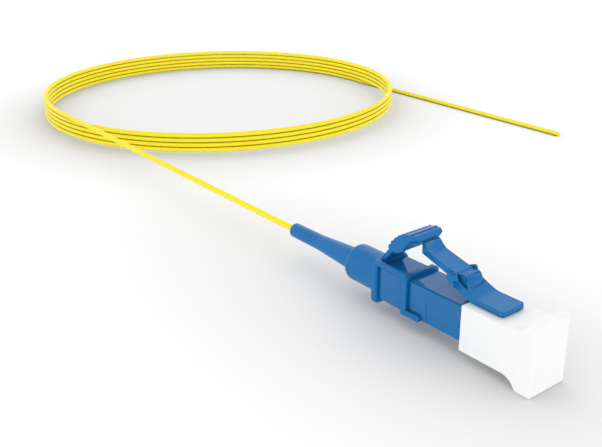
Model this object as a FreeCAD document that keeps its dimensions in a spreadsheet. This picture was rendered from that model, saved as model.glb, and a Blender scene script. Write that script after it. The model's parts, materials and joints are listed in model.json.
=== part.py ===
import FreeCAD, Part
import math
import os
from collections import namedtuple

import Sketcher

# Fibre pigtail: a small square latched plug with a dust cap, and its thin cord in a coil.
# The plug lies along X with its nose face at x = 0 and its cord leaving towards -X.
# Every piece is drawn about the plug's own axis and then lifted to stand on the floor.
# Lengths are millimetres, angles are degrees.

SIZES = {
    # Plug housing: a square tube whose nose goes into the adapter
    "housing_side": 4.42,
    "housing_length": 17.8,
    "nose_bore": 2.8,
    "nose_depth": 2.35,
    "edge_rabbet": 0.15,
    "seam_place": 10.1,
    "seam_top": 0.55,
    "seam_depth": 0.08,
    "seam_width": 0.14,
    # Latch: a tongue on a short root over the nose, and the arm that rises behind it
    "root_front": 0.45,
    "root_length": 2.15,
    "root_width": 2.6,
    "tongue_lift": 0.65,
    "tongue_thick": 0.57,
    "tongue_width": 3.4,
    "tongue_front": 0.13,
    "tongue_chamfer": 0.3,
    "latch_hinge": 4.3,
    "arm_sweep_radius": 2.4,
    "arm_step_back": 0.95,
    "arm_step_rise": 0.86,
    "arm_brow_back": 1.55,
    "arm_brow_rise": 2.0,
    "arm_saddle_back": 2.8,
    "arm_saddle_rise": 1.97,
    "arm_curl_length": 1.18,
    "arm_curl_rise": 2.9,
    "arm_curl_radius": 2.2,
    "arm_tail_lap": 0.18,
    "arm_tail_height": 1.19,
    "arm_knee_back": 3.87,
    "arm_knee_rise": 1.32,
    "arm_narrow": 2.5,
    "arm_shoulder": 1.0,
    "arm_taper": 0.2,
    "ear_thick": 0.26,
    "ear_front": 0.75,
    "ear_front_low": 0.1,
    "ear_foot_back": 1.0,
    "ear_foot_rise": 0.86,
    "ear_hollow": 1.6,
    "ear_brow_back": 2.35,
    "ear_brow_rise": 2.1,
    "ear_top_back": 2.7,
    "ear_top_rise": 2.2,
    "ear_radius": 0.81,
    "ear_low_back": 2.9,
    "ear_low_rise": 0.62,
    # Dust cap: a square sleeve with a flared grip at its closed end
    "cap_front": 4.7,
    "cap_back": 4.75,
    "cap_top_wall": 0.44,
    "cap_side_wall": 0.49,
    "cap_stop": 0.3,
    "cap_bore": 3.0,
    "cap_bore_depth": 2.7,
    "cap_flare_radius": 2.0,
    "cap_low_flare": 0.9,
    "cap_low_drop": 1.3,
    "cap_high_flare": 1.7,
    "cap_high_rise": 1.18,
    "cap_edge": 0.12,
    # Trigger clip: a ring behind the housing and a band across it, joined by one rail
    "ring_thick": 1.0,
    "ring_width": 4.9,
    "ring_rise": 2.8,
    "ring_drop": 2.5,
    "ring_corner": 0.7,
    "band_front": 12.95,
    "band_thick": 0.85,
    "band_width": 5.2,
    "band_corner": 0.9,
    "bar_height": 0.86,
    "post_end": 2.3,
    "rail_inner": 1.9,
    "rail_height": 0.82,
    "foot_front": 10.9,
    "foot_height": 0.7,
    "foot_proud": 0.51,
    "clip_edge": 0.3,
    # Trigger lever: a sloping root plate on the ring and a ridged thumb pad with a nose
    "lever_hinge_inset": 0.08,
    "lever_hinge_rise": 0.22,
    "lever_thick": 0.55,
    "lever_width": 3.0,
    "lever_slope": 52.4,
    "lever_root_length": 2.3,
    "pad_width": 4.2,
    "pad_back": 1.38,
    "pad_back_rise": 2.08,
    "pad_top": 4.68,
    "pad_top_rise": 4.63,
    "pad_radius": 4.95,
    "pad_under_back": 1.4,
    "pad_under_back_rise": 1.55,
    "pad_under_mid": 2.88,
    "pad_under_mid_rise": 1.85,
    "pad_throat": 3.65,
    "pad_throat_rise": 2.3,
    "pad_chin": 4.49,
    "pad_chin_rise": 3.71,
    "nose_out": 5.18,
    "nose_up": 4.13,
    "nose_radius": 0.52,
    "nose_bevel": 0.2,
    "nose_gap": 0.1,
    "ridge_radius": 0.28,
    "ridge_sink": 0.16,
    "ridge_first": 150.5,
    "ridge_step": 8.6,
    "ridge_count": 5,
    # Boot: a collar against the clip's ring and a tapered tail down to the cord
    "collar_length": 5.35,
    "collar_dia": 4.68,
    "collar_round": 0.6,
    "boot_length": 18.0,
    "tail_root": 3.0,
    "tail_neck": 2.02,
    "tail_tip": 1.96,
    "tail_cone": 7.05,
    "boot_pocket": 4.2,
    # Back post: the tube that closes the housing, backs the spring and holds ring and boot
    "post_dia": 3.35,
    "post_front": 10.6,
    "stub_dia": 2.8,
    "stub_length": 4.0,
    "post_well": 1.9,
    "post_well_depth": 2.0,
    "cord_hole": 1.04,
    # Ferrule, its hexagonal flange and the spring behind it
    "ferrule_dia": 1.249,
    "ferrule_out": 2.0,
    "ferrule_seat": 1.4,
    "ferrule_seat_taper": 0.1,
    "ferrule_chamfer": 0.2,
    "fibre_hole": 0.126,
    "fibre_dia": 0.125,
    "fibre_back": 6.0,
    "hex_flats": 2.9,
    "hex_length": 2.0,
    "shank_dia": 1.7,
    "shank_length": 6.05,
    "shank_fibre_hole": 0.4,
    "spring_wire": 0.35,
    "spring_outer": 2.7,
    "spring_pitch": 1.2,
    # Cord: straight from the boot, round the coil and straight out to its bare end
    "cord_dia": 0.9,
    "buffer_front": 7.0,
    "lead_length": 77.3,
    "lead_angle": 270.35,
    "coil_radius": 38.5,
    "coil_full_turns": 4,
    "coil_pitch": 0.93,
    "tail_angle": 88.915,
    "tail_length": 64.4,
    # Clearances between pieces that fit each other
    "cap_clearance": 0.05,
    "root_clearance": 0.12,
    "hinge_clearance": 0.03,
    "clip_clearance": 0.03,
    "post_clearance": 0.05,
    "stub_clearance": 0.05,
}

START = 1
END = 2
CENTRE = 3
ROOT_POINT = (-1, START)
OVERCUT = 1.2  # a cut runs this many times as far as what it cuts through

Corner = namedtuple("Corner", "x y radius turn", defaults=(None, "left"))


class Length:
    """A size: the number that it has now, and the expression that ties it to the sheet."""

    def __init__(self, value, text):
        self.value = value
        self.text = text

    @classmethod
    def of(cls, item):
        return item if isinstance(item, cls) else cls(float(item), str(float(item)))

    def __add__(self, other):
        other = Length.of(other)
        return Length(self.value + other.value, f"({self.text} + {other.text})")

    def __sub__(self, other):
        other = Length.of(other)
        return Length(self.value - other.value, f"({self.text} - {other.text})")

    def __mul__(self, other):
        other = Length.of(other)
        return Length(self.value * other.value, f"({self.text} * {other.text})")

    def __truediv__(self, other):
        other = Length.of(other)
        return Length(self.value / other.value, f"({self.text} / {other.text})")

    def __neg__(self):
        return self * -1

    def __rsub__(self, other):
        return Length.of(other) - self

    def __radd__(self, other):
        return Length.of(other) + self

    def root(self):
        return Length(math.sqrt(self.value), f"sqrt({self.text})")

    def cosine(self):
        return Length(math.cos(math.radians(self.value)), f"cos({self.text})")

    def sine(self):
        return Length(math.sin(math.radians(self.value)), f"sin({self.text})")


def make_sheet(doc):
    """Write the driving sizes into a spreadsheet, one named cell each."""
    sheet = doc.addObject("Spreadsheet::Sheet", "Sizes")
    for row, (name, value) in enumerate(SIZES.items(), start=1):
        sheet.set(f"A{row}", name)
        sheet.set(f"B{row}", str(value))
        sheet.setAlias(f"B{row}", name)
    doc.recompute()
    return sheet


document = FreeCAD.newDocument("FibrePigtail")
sheet = make_sheet(document)


def size(name):
    """A driving size, read from its cell."""
    return Length(float(sheet.get(name)), f"Sizes.{name}")


# Places and sizes that several pieces share, all from the sheet
half_side = size("housing_side") / 2
housing_back = -size("housing_length")
ring_back = housing_back - size("ring_thick")
boot_end = ring_back - size("boot_length")
cap_half_height = half_side + size("cap_clearance") + size("cap_top_wall")
axis_height = cap_half_height + size("cap_low_drop")
middle_shift = -(size("cap_front") + boot_end) / 2
tongue_under = half_side + size("tongue_lift")
latch_hinge_x = -size("latch_hinge")
latch_hinge_z = tongue_under + size("tongue_thick") / 2
lever_hinge_x = housing_back - size("lever_hinge_inset")
lever_hinge_z = size("ring_rise") + size("lever_hinge_rise")
nose_x = lever_hinge_x + size("nose_out")
nose_z = lever_hinge_z + size("nose_up")
chamber_radius = size("post_dia") / 2 + size("post_clearance")
flange_front = -size("nose_depth")
flange_back = flange_front - size("hex_length")
post_front = -size("post_front")
cord_radius = size("cord_dia") / 2
ZERO = Length.of(0)


def new_body(node):
    """A body with the node's name, lifted to where the part stands."""
    body = document.addObject("PartDesign::Body", node)
    body.Label = node
    body.setExpression("Placement.Base.x", middle_shift.text)
    body.setExpression("Placement.Base.z", axis_height.text)
    return body


def new_sketch(body, name, plane, offset=ZERO):
    """A sketch on one of the body's own planes, moved along the plane's normal."""
    sketch = body.newObject("Sketcher::SketchObject", name)
    support = next(item for item in body.Origin.OriginFeatures if item.Role == plane)
    sketch.AttachmentSupport = [(support, "")]
    sketch.MapMode = "FlatFace"
    sketch.setExpression("AttachmentOffset.Base.z", offset.text)
    return sketch


def hold(sketch, index, end, x, y):
    """Tie one point of the sketch to the sheet by its two distances from the root point."""
    for kind, distance in (("DistanceX", x), ("DistanceY", y)):
        rule = Sketcher.Constraint(kind, *ROOT_POINT, index, end, distance.value)
        number = sketch.addConstraint(rule)
        sketch.setExpression(f"Constraints[{number}]", distance.text)


def arc_between(first, last, radius, turn):
    """The shorter arc from one point to another, turning left or right on the way."""
    chord = last - first
    middle = (first + last) * 0.5
    left = FreeCAD.Vector(-chord.y, chord.x, 0).normalize()
    reach = math.sqrt(max(radius ** 2 - (chord.Length / 2) ** 2, 0))
    centre = middle + left * (reach if turn == "left" else -reach)
    begin, finish = (first, last) if turn == "left" else (last, first)
    angles = [math.atan2((p - centre).y, (p - centre).x) for p in (begin, finish)]
    if angles[1] < angles[0]:
        angles[1] += 2 * math.pi
    return Part.ArcOfCircle(Part.Circle(centre, FreeCAD.Vector(0, 0, 1), radius), *angles)


def draw_outline(sketch, corners):
    """Close an outline through its corners, each held by the sheet."""
    corners = [Corner(Length.of(c.x), Length.of(c.y), c.radius, c.turn) for c in corners]
    points = [FreeCAD.Vector(c.x.value, c.y.value, 0) for c in corners]
    ends = []
    for number, corner in enumerate(corners):
        first, last = points[number], points[(number + 1) % len(points)]
        if corner.radius is None:
            index = sketch.addGeometry(Part.LineSegment(first, last))
            ends.append((index, START, END))
            continue
        index = sketch.addGeometry(arc_between(first, last, corner.radius.value, corner.turn))
        ends.append((index, START, END) if corner.turn == "left" else (index, END, START))
    for number, (index, start, _) in enumerate(ends):
        previous, _, end = ends[number - 1]
        sketch.addConstraint(Sketcher.Constraint("Coincident", previous, end, index, start))
        hold(sketch, index, start, corners[number].x, corners[number].y)
    for number, corner in enumerate(corners):
        if corner.radius is not None:
            add_radius(sketch, ends[number][0], corner.radius)


def add_radius(sketch, index, radius):
    number = sketch.addConstraint(Sketcher.Constraint("Radius", index, radius.value))
    sketch.setExpression(f"Constraints[{number}]", radius.text)


def draw_circle(sketch, x, y, radius):
    centre = FreeCAD.Vector(x.value, y.value, 0)
    circle = Part.Circle(centre, FreeCAD.Vector(0, 0, 1), radius.value)
    index = sketch.addGeometry(circle)
    hold(sketch, index, CENTRE, x, y)
    add_radius(sketch, index, radius)


def draw_rectangle(sketch, x_low, x_high, y_low, y_high):
    corners = [(x_low, y_low), (x_high, y_low), (x_high, y_high), (x_low, y_high)]
    draw_outline(sketch, [Corner(x, y) for x, y in corners])


def draw_rounded(sketch, x_low, x_high, y_low, y_high, radius):
    """A rectangle with four round corners."""
    draw_outline(sketch, [
        Corner(x_low + radius, y_low),
        Corner(x_high - radius, y_low, radius),
        Corner(x_high, y_low + radius),
        Corner(x_high, y_high - radius, radius),
        Corner(x_high - radius, y_high),
        Corner(x_low + radius, y_high, radius),
        Corner(x_low, y_high - radius),
        Corner(x_low, y_low + radius, radius),
    ])


def extrude(body, kind, name, sketch, length, side="One side", reverse=False):
    """A pad or a pocket of the sketch, its length tied to the sheet."""
    feature = body.newObject(f"PartDesign::{kind}", name)
    feature.Profile = sketch
    feature.SideType = side
    feature.Reversed = reverse
    feature.setExpression("Length", length.text)
    return feature


def spin(body, kind, name, sketch):
    """A full turn of the sketch about the plug's axis."""
    feature = body.newObject(f"PartDesign::{kind}", name)
    feature.Profile = sketch
    feature.ReferenceAxis = (sketch, ["H_Axis"])
    feature.Angle = 360
    return feature


def mirror(body, name, features):
    """The features again on the plug's other side."""
    feature = body.newObject("PartDesign::Mirrored", name)
    feature.Originals = features
    side = next(item for item in body.Origin.OriginFeatures if item.Role == "XZ_Plane")
    feature.MirrorPlane = (side, [""])
    body.Tip = feature
    return feature


def blend_edges(body, kind, name, amount, wanted):
    """Round or bevel the edges of the body so far that a test picks."""
    document.recompute()
    base = body.Tip
    edges = [f"Edge{n}" for n, edge in enumerate(base.Shape.Edges, start=1) if wanted(edge)]
    feature = body.newObject(f"PartDesign::{kind}", name)
    feature.Base = (base, edges)
    feature.setExpression("Radius" if kind == "Fillet" else "Size", amount.text)
    return feature


def near(value, length):
    return abs(value - length.value) < 1e-4


def make_housing():
    """Square body, stepped bore, latch root and tongue, and the seat for the latch arm."""
    body = new_body("plug_housing")
    square = new_sketch(body, "HousingSquare", "YZ_Plane")
    draw_rectangle(square, -half_side, half_side, -half_side, half_side)
    extrude(body, "Pad", "HousingPad", square, size("housing_length"), reverse=True)

    rabbet = new_sketch(body, "HousingRabbet", "YZ_Plane")
    inner = half_side - size("edge_rabbet")
    draw_rectangle(rabbet, -half_side, -inner, inner, half_side)
    cut = extrude(body, "Pocket", "RabbetCut", rabbet, size("housing_length"))
    mirror(body, "RabbetPair", [cut])

    seam = new_sketch(body, "HousingSeam", "XZ_Plane", half_side)
    middle = -size("seam_place")
    draw_rectangle(seam, middle - size("seam_width") / 2, middle + size("seam_width") / 2,
                   -half_side, size("seam_top"))
    cut = extrude(body, "Pocket", "SeamCut", seam, size("seam_depth"))
    mirror(body, "SeamPair", [cut])

    bore = new_sketch(body, "HousingBore", "XZ_Plane")
    nose_radius = size("nose_bore") / 2
    draw_outline(bore, [
        Corner(housing_back, ZERO),
        Corner(ZERO, ZERO),
        Corner(ZERO, nose_radius),
        Corner(flange_front, nose_radius),
        Corner(flange_front, chamber_radius),
        Corner(housing_back, chamber_radius),
    ])
    spin(body, "Groove", "BoreCut", bore)

    root = new_sketch(body, "LatchRoot", "XZ_Plane")
    root_front = -size("root_front")
    tongue_top = tongue_under + size("tongue_thick")
    draw_rectangle(root, root_front - size("root_length"), root_front,
                   half_side - size("edge_rabbet"), tongue_under + size("tongue_thick") / 2)
    extrude(body, "Pad", "RootPad", root, size("root_width"), "Symmetric")
    tongue = new_sketch(body, "LatchTongue", "XZ_Plane")
    draw_rectangle(tongue, latch_hinge_x, -size("tongue_front"), tongue_under, tongue_top)
    extrude(body, "Pad", "TonguePad", tongue, size("tongue_width"), "Symmetric")

    def on_tongue_rim(edge):
        box = edge.BoundBox
        on_top = near(box.ZMin, tongue_top) and near(box.ZMax, tongue_top)
        return on_top and box.XMax > latch_hinge_x.value + 0.01

    blend_edges(body, "Chamfer", "TongueBevel", size("tongue_chamfer"), on_tongue_rim)
    seat = new_sketch(body, "LatchSeat", "XZ_Plane")
    seat_radius = size("tongue_thick") / 2 + size("hinge_clearance")
    draw_circle(seat, latch_hinge_x, latch_hinge_z, seat_radius)
    extrude(body, "Pocket", "SeatCut", seat, size("tongue_width") * OVERCUT, "Symmetric")
    return body


def make_latch_arm():
    """Rising arm with a steep step and a curled tail, between a hooked ear on each side."""
    body = new_body("latch_arm")
    x, z = latch_hinge_x, latch_hinge_z
    knuckle = size("tongue_thick") / 2
    tail_x = nose_x + size("nose_radius") + size("nose_gap")
    tail_top = nose_z - size("nose_radius") + size("arm_tail_lap")
    side = new_sketch(body, "ArmSide", "XZ_Plane")
    draw_outline(side, [
        Corner(x, z - knuckle, knuckle, "left"),
        Corner(x + knuckle, z, knuckle, "left"),
        Corner(x, z + knuckle, size("arm_sweep_radius"), "right"),
        Corner(x - size("arm_step_back"), z + size("arm_step_rise")),
        Corner(x - size("arm_brow_back"), z + size("arm_brow_rise")),
        Corner(x - size("arm_saddle_back"), z + size("arm_saddle_rise")),
        Corner(tail_x + size("arm_curl_length"), z + size("arm_curl_rise"),
               size("arm_curl_radius"), "right"),
        Corner(tail_x, tail_top),
        Corner(tail_x, tail_top - size("arm_tail_height")),
        Corner(x - size("arm_knee_back"), z + size("arm_knee_rise")),
    ])
    extrude(body, "Pad", "ArmPad", side, size("tongue_width"), "Symmetric")

    plan = new_sketch(body, "ArmPlan", "XY_Plane", z - size("tongue_thick"))
    shoulder = x - size("arm_shoulder")
    beyond = x - (x - tail_x) * OVERCUT
    outer = size("tongue_width") / 2
    draw_outline(plan, [
        Corner(shoulder, outer),
        Corner(shoulder - size("arm_taper"), size("arm_narrow") / 2),
        Corner(beyond, size("arm_narrow") / 2),
        Corner(beyond, outer * OVERCUT),
        Corner(shoulder, outer * OVERCUT),
    ])
    cut = extrude(body, "Pocket", "ArmNarrow", plan, tail_top * OVERCUT, reverse=True)
    mirror(body, "ArmNarrowPair", [cut])

    ear = new_sketch(body, "Ear", "XZ_Plane", outer - size("ear_thick"))
    draw_outline(ear, [
        Corner(x - size("ear_front"), z + size("ear_front_low")),
        Corner(x - size("ear_foot_back"), z + size("ear_foot_rise"), size("ear_hollow"), "right"),
        Corner(x - size("ear_brow_back"), z + size("ear_brow_rise")),
        Corner(x - size("ear_top_back"), z + size("ear_top_rise"), size("ear_radius"), "left"),
        Corner(x - size("ear_low_back"), z + size("ear_low_rise")),
    ])
    pad = extrude(body, "Pad", "EarPad", ear, size("ear_thick"))
    mirror(body, "EarPair", [pad])
    return body


def make_dust_cap():
    """Square sleeve over the nose, flaring up and down to a flat grip at its closed end."""
    body = new_body("dust_cap")
    top = cap_half_height
    cavity = half_side + size("cap_clearance")
    front, back = size("cap_front"), -size("cap_back")
    flare = size("cap_flare_radius")

    def flare_run(rise):
        return (flare * flare - (flare - rise) * (flare - rise)).root()

    side = new_sketch(body, "CapSide", "XZ_Plane")
    low, high = size("cap_low_drop"), size("cap_high_rise")
    draw_outline(side, [
        Corner(back, -top),
        Corner(size("cap_low_flare"), -top, flare, "right"),
        Corner(size("cap_low_flare") + flare_run(low), -top - low),
        Corner(front, -top - low),
        Corner(front, top + high),
        Corner(size("cap_high_flare") + flare_run(high), top + high, flare, "right"),
        Corner(size("cap_high_flare"), top),
        Corner(back, top),
    ])
    width = (cavity + size("cap_side_wall")) * 2
    extrude(body, "Pad", "CapPad", side, width, "Symmetric")
    blend_edges(body, "Fillet", "CapEdges", size("cap_edge"),
                lambda edge: near(edge.BoundBox.XMin, front))

    mouth = new_sketch(body, "CapCavity", "YZ_Plane", size("cap_stop"))
    draw_rectangle(mouth, -cavity, cavity, -cavity, cavity)
    extrude(body, "Pocket", "CavityCut", mouth, size("cap_stop") - back)
    bore = new_sketch(body, "CapBore", "YZ_Plane", size("cap_stop") + size("cap_bore_depth"))
    draw_circle(bore, ZERO, ZERO, size("cap_bore") / 2)
    extrude(body, "Pocket", "CapBoreCut", bore, size("cap_bore_depth") + size("cap_stop"))
    slot = new_sketch(body, "CapSlot", "XY_Plane", top)
    slot_half = size("root_width") / 2 + size("root_clearance")
    slot_end = -size("root_front") + size("root_clearance")
    draw_rectangle(slot, back, slot_end, -slot_half, slot_half)
    extrude(body, "Pocket", "SlotCut", slot, size("cap_top_wall") + size("cap_clearance"))
    return body


def make_trigger_clip():
    """Ring, rail, band and feet in one moulding that grips the housing's rear half."""
    body = new_body("trigger_clip")
    ring = new_sketch(body, "Ring", "YZ_Plane", housing_back)
    half = size("ring_width") / 2
    draw_rounded(ring, -half, half, -size("ring_drop"), size("ring_rise"), size("ring_corner"))
    draw_circle(ring, ZERO, ZERO, size("post_dia") / 2 + size("clip_clearance"))
    extrude(body, "Pad", "RingPad", ring, size("ring_thick"), reverse=True)

    inner = half_side + size("clip_clearance")
    outer = size("band_width") / 2
    bar_top = inner + size("bar_height")
    corner = size("band_corner")
    foot_low = -size("post_end")
    band = new_sketch(body, "Band", "YZ_Plane", -size("band_front"))
    draw_outline(band, [
        Corner(-outer, foot_low),
        Corner(-inner, foot_low),
        Corner(-inner, inner),
        Corner(inner, inner),
        Corner(inner, foot_low),
        Corner(outer, foot_low),
        Corner(outer, bar_top - corner, corner, "left"),
        Corner(outer - corner, bar_top),
        Corner(corner - outer, bar_top, corner, "left"),
        Corner(-outer, bar_top - corner),
    ])
    extrude(body, "Pad", "BandPad", band, size("band_thick"), reverse=True)

    foot = new_sketch(body, "Foot", "YZ_Plane", -size("foot_front"))
    draw_rectangle(foot, -inner - size("foot_proud"), -inner, foot_low,
                   foot_low + size("foot_height"))
    foot_length = size("band_front") + size("band_thick") - size("foot_front")
    pad = extrude(body, "Pad", "FootPad", foot, foot_length, reverse=True)
    mirror(body, "FootPair", [pad])

    rail = new_sketch(body, "Rail", "YZ_Plane", -size("band_front"))
    draw_rounded(rail, -outer, -size("rail_inner"), inner, inner + size("rail_height"),
                 size("clip_edge"))
    extrude(body, "Pad", "RailPad", rail, size("housing_length") - size("band_front"),
            reverse=True)

    seat = new_sketch(body, "LeverSeat", "XZ_Plane")
    seat_radius = size("lever_thick") / 2 + size("hinge_clearance")
    draw_circle(seat, lever_hinge_x, lever_hinge_z, seat_radius)
    seat_width = size("lever_width") + size("hinge_clearance") * 2
    extrude(body, "Pocket", "LeverSeatCut", seat, seat_width, "Symmetric")
    return body


def make_trigger_lever():
    """Root plate, thumb pad with a fan of grip ridges, and the round nose over the latch."""
    body = new_body("trigger_lever")
    x, z = lever_hinge_x, lever_hinge_z
    half = size("lever_thick") / 2
    run, rise = size("lever_slope").cosine(), size("lever_slope").sine()
    reach = size("lever_root_length")
    plate = new_sketch(body, "RootPlate", "XZ_Plane")
    draw_outline(plate, [
        Corner(x + rise * half, z - run * half),
        Corner(x + rise * half + run * reach, z - run * half + rise * reach),
        Corner(x - rise * half + run * reach, z + run * half + rise * reach),
        Corner(x - rise * half, z + run * half, half, "left"),
        Corner(x - run * half, z - rise * half, half, "left"),
    ])
    extrude(body, "Pad", "PlatePad", plate, size("lever_width"), "Symmetric")

    pad = new_sketch(body, "ThumbPad", "XZ_Plane")
    draw_outline(pad, [
        Corner(x + size("pad_back"), z + size("pad_back_rise"), size("pad_radius"), "right"),
        Corner(x + size("pad_top"), z + size("pad_top_rise")),
        Corner(nose_x, nose_z + size("nose_radius") / 2),
        Corner(nose_x, nose_z - size("nose_radius") / 2),
        Corner(x + size("pad_chin"), z + size("pad_chin_rise")),
        Corner(x + size("pad_throat"), z + size("pad_throat_rise")),
        Corner(x + size("pad_under_mid"), z + size("pad_under_mid_rise")),
        Corner(x + size("pad_under_back"), z + size("pad_under_back_rise")),
    ])
    extrude(body, "Pad", "ThumbPadPad", pad, size("pad_width"), "Symmetric")

    nose = new_sketch(body, "Nose", "XZ_Plane")
    draw_circle(nose, nose_x, nose_z, size("nose_radius"))
    extrude(body, "Pad", "NosePad", nose, size("pad_width"), "Symmetric")

    corner = new_sketch(body, "NoseCorner", "XY_Plane", z)
    side_half = size("pad_width") / 2
    tip = nose_x + size("nose_radius")
    draw_outline(corner, [
        Corner(tip, side_half - size("nose_bevel")),
        Corner(tip, side_half * OVERCUT),
        Corner(nose_x - size("nose_bevel"), side_half * OVERCUT),
        Corner(nose_x - size("nose_bevel"), side_half),
    ])
    depth = (size("nose_up") + size("nose_radius")) * OVERCUT
    bevel = extrude(body, "Pocket", "NoseBevel", corner, depth, reverse=True)
    mirror(body, "NoseBevelPair", [bevel])

    centre_x, centre_z = arc_centre(x + size("pad_back"), z + size("pad_back_rise"),
                                    x + size("pad_top"), z + size("pad_top_rise"),
                                    size("pad_radius"))
    ridge = new_sketch(body, "Ridge", "XZ_Plane")
    ridge.setExpression("AttachmentOffset.Base.x", centre_x.text)
    ridge.setExpression("AttachmentOffset.Base.y", centre_z.text)
    throw = size("pad_radius") - size("ridge_sink")
    first = size("ridge_first")
    draw_circle(ridge, throw * first.cosine(), throw * first.sine(), size("ridge_radius"))
    bar = extrude(body, "Pad", "RidgePad", ridge, size("pad_width"), "Symmetric")
    fan = body.newObject("PartDesign::PolarPattern", "RidgeFan")
    fan.Originals = [bar]
    fan.Axis = (ridge, ["N_Axis"])
    fan.Reversed = True
    fan.setExpression("Angle", (size("ridge_step") * (size("ridge_count") - 1)).text)
    fan.setExpression("Occurrences", size("ridge_count").text)
    body.Tip = fan
    return body


def arc_centre(x_first, z_first, x_last, z_last, radius):
    """Centre of the arc that turns right from the first point to the last."""
    across, up = x_last - x_first, z_last - z_first
    chord = (across * across + up * up).root()
    reach = (radius * radius - chord * chord / 4).root()
    centre_x = (x_first + x_last) / 2 + up / chord * reach
    centre_z = (z_first + z_last) / 2 - across / chord * reach
    return centre_x, centre_z


def make_boot():
    """Collar and tapered tail moulded in one piece, bored for the stub and the cord."""
    body = new_body("boot")
    collar, rounding = size("collar_dia") / 2, size("collar_round")
    root, neck, tip = size("tail_root") / 2, size("tail_neck") / 2, size("tail_tip") / 2
    collar_back = ring_back - size("collar_length")
    hole = size("cord_hole") / 2
    pocket = size("stub_dia") / 2 + size("stub_clearance")
    pocket_end = ring_back - size("boot_pocket")
    side = new_sketch(body, "BootSide", "XZ_Plane")
    draw_outline(side, [
        Corner(ring_back, collar),
        Corner(collar_back + rounding, collar, rounding, "left"),
        Corner(collar_back, collar - rounding),
        Corner(collar_back, root),
        Corner(collar_back - size("tail_cone"), neck),
        Corner(boot_end, tip),
        Corner(boot_end, hole),
        Corner(pocket_end, hole),
        Corner(pocket_end, pocket),
        Corner(ring_back, pocket),
    ])
    spin(body, "Revolution", "BootTurn", side)
    return body


def make_back_post():
    """Tube in the housing's rear: a well for the shank, a hole for the cord, a rear stub."""
    body = new_body("back_post")
    well_end = post_front - size("post_well_depth")
    stub_end = ring_back - size("stub_length")
    side = new_sketch(body, "PostSide", "XZ_Plane")
    draw_outline(side, [
        Corner(post_front, size("post_well") / 2),
        Corner(post_front, size("post_dia") / 2),
        Corner(ring_back, size("post_dia") / 2),
        Corner(ring_back, size("stub_dia") / 2),
        Corner(stub_end, size("stub_dia") / 2),
        Corner(stub_end, size("cord_hole") / 2),
        Corner(well_end, size("cord_hole") / 2),
        Corner(well_end, size("post_well") / 2),
    ])
    spin(body, "Revolution", "PostTurn", side)
    return body


def make_ferrule():
    """Ceramic pin with the fibre's hole, bevelled in front and tapered into its seat."""
    body = new_body("ferrule")
    radius, hole = size("ferrule_dia") / 2, size("fibre_hole") / 2
    tip, back = size("ferrule_out"), flange_front - size("ferrule_seat")
    chamfer = size("ferrule_chamfer")
    side = new_sketch(body, "FerruleSide", "XZ_Plane")
    draw_outline(side, [
        Corner(tip, hole),
        Corner(tip, radius - chamfer),
        Corner(tip - chamfer, radius),
        Corner(flange_front, radius),
        Corner(back, radius - size("ferrule_seat_taper")),
        Corner(back, hole),
    ])
    spin(body, "Revolution", "FerruleTurn", side)
    return body


def make_flange():
    """Hexagonal head that seats in the housing, with the shank that guides the spring."""
    body = new_body("ferrule_flange")
    flat = size("hex_flats") / 2
    point = size("hex_flats") / math.sqrt(3)
    head = new_sketch(body, "Hexagon", "YZ_Plane", flange_front)
    draw_outline(head, [
        Corner(point, ZERO),
        Corner(point / 2, flat),
        Corner(-point / 2, flat),
        Corner(-point, ZERO),
        Corner(-point / 2, -flat),
        Corner(point / 2, -flat),
    ])
    extrude(body, "Pad", "HeadPad", head, size("hex_length"), reverse=True)
    shank = new_sketch(body, "Shank", "YZ_Plane", flange_back)
    draw_circle(shank, ZERO, ZERO, size("shank_dia") / 2)
    extrude(body, "Pad", "ShankPad", shank, size("shank_length"), reverse=True)

    bore = new_sketch(body, "FlangeBore", "XZ_Plane")
    shank_end = flange_back - size("shank_length")
    seat_end = flange_front - size("ferrule_seat")
    seat, fibre = size("ferrule_dia") / 2, size("shank_fibre_hole") / 2
    rear = size("cord_hole") / 2
    draw_outline(bore, [
        Corner(flange_front, ZERO),
        Corner(flange_front, seat),
        Corner(seat_end, seat - size("ferrule_seat_taper")),
        Corner(seat_end, fibre),
        Corner(-size("fibre_back"), fibre),
        Corner(-size("fibre_back"), rear),
        Corner(shank_end, rear),
        Corner(shank_end, ZERO),
    ])
    spin(body, "Groove", "FlangeBoreCut", bore)
    return body


def make_spring():
    """Open coil of wire, drawn six-sided, between the flange's head and the back post."""
    body = new_body("spring")
    wire = size("spring_wire") / 2
    section = new_sketch(body, "Wire", "XZ_Plane", ZERO)
    x, z = post_front + wire, size("spring_outer") / 2 - wire
    rise = wire * math.sqrt(3) / 2
    draw_outline(section, [
        Corner(x + wire, z),
        Corner(x + wire / 2, z + rise),
        Corner(x - wire / 2, z + rise),
        Corner(x - wire, z),
        Corner(x - wire / 2, z - rise),
        Corner(x + wire / 2, z - rise),
    ])
    coil = body.newObject("PartDesign::AdditiveHelix", "Coil")
    coil.Profile = section
    coil.ReferenceAxis = (section, ["H_Axis"])
    coil.Mode = "pitch-height-angle"
    coil.setExpression("Pitch", size("spring_pitch").text)
    coil.setExpression("Height", (flange_back - post_front - size("spring_wire")).text)
    return body


def make_rod(node, radius, length, end, direction):
    """A round rod from a point of the plug's frame along a direction."""
    rod = document.addObject("Part::Cylinder", node)
    rod.Label = node
    rod.setExpression("Radius", radius.text)
    rod.setExpression("Height", length.text)
    turn = FreeCAD.Rotation(FreeCAD.Vector(0, 0, 1), direction)
    rod.Placement = FreeCAD.Placement(FreeCAD.Vector(), turn)
    rod.setExpression("Placement.Base.x", (end[0] + middle_shift).text)
    rod.setExpression("Placement.Base.y", Length.of(end[1]).text)
    rod.setExpression("Placement.Base.z", (end[2] + axis_height).text)
    return rod


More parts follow.
